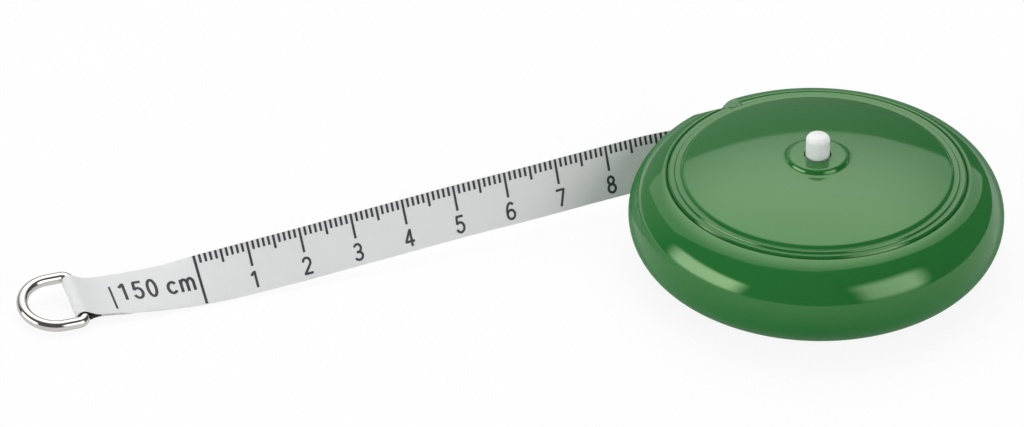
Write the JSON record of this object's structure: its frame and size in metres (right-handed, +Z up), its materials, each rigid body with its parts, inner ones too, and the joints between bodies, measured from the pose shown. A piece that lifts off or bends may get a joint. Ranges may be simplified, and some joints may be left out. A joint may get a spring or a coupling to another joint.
{
  "type": "push-button tape measure",
  "caption": "Round spring-return sewing tape measure: green doughnut case with domed lid and white push button, printed tape with a D-ring pull at its end.",
  "frame": {"origin": "middle of the flat base, on the reel's axis", "axes": "+Z up along the reel's axis, the tape leaves along -X on the +Y side"},
  "size_m": [0.1793, 0.069, 0.0263],
  "materials": {
    "case_green": "polished moulded plastic",
    "button_white": "satin moulded plastic",
    "tape_cloth": "coated fine weave",
    "ring_nickel": "nickel plated",
    "spring_steel": "oiled",
    "reel_plastic": "as moulded",
    "brake_rubber": "matt"
  },
  "bodies": {
    "case": {"case_body": "case_green", "case_lid": "case_green", "brake_ring": "brake_rubber", "arbor": "spring_steel", "brake_spring": "spring_steel"},
    "button": {"push_button": "button_white", "thrust_washer": "spring_steel"},
    "reel": {"reel_drum": "reel_plastic", "drum_cover": "reel_plastic", "tape_winding": "tape_cloth", "tape_anchor_pin": "spring_steel", "main_spring": "spring_steel"},
    "tape_end": {"tape_strip": "tape_cloth", "tape_hem": "tape_cloth"},
    "ring": {"pull_ring": "ring_nickel"}
  },
  "joints": [
    {"name": "tape_pull", "type": "slide", "parent": "case", "child": "tape_end", "axis": [-1, 0, 0], "range_m": [-0.098, 1.41], "deforming": ["tape_strip"]},
    {"name": "button_press", "type": "slide", "parent": "case", "child": "button", "axis": [0, 0, -1], "range_m": [0, 0.0014], "stiffness_N_per_m": 1500, "springref_m": -0.002, "deforming": ["brake_spring"]},
    {"name": "reel_spin", "type": "hinge", "parent": "button", "child": "reel", "pos_m": [0, 0, 0.009], "axis": [0, 0, 1], "range_deg": [-255, 3540], "deforming": ["main_spring"]},
    {"name": "ring_swing", "type": "hinge", "parent": "tape_end", "child": "ring", "pos_m": [-0.13369, 0.0268, 0.00238], "axis": [0, 0.9848, 0.1736], "range_deg": [-150, 150]}
  ],
  "couplings": [
    {"joint": "reel_spin", "follows": "tape_pull", "rad_per_m": 43.67}
  ]
}
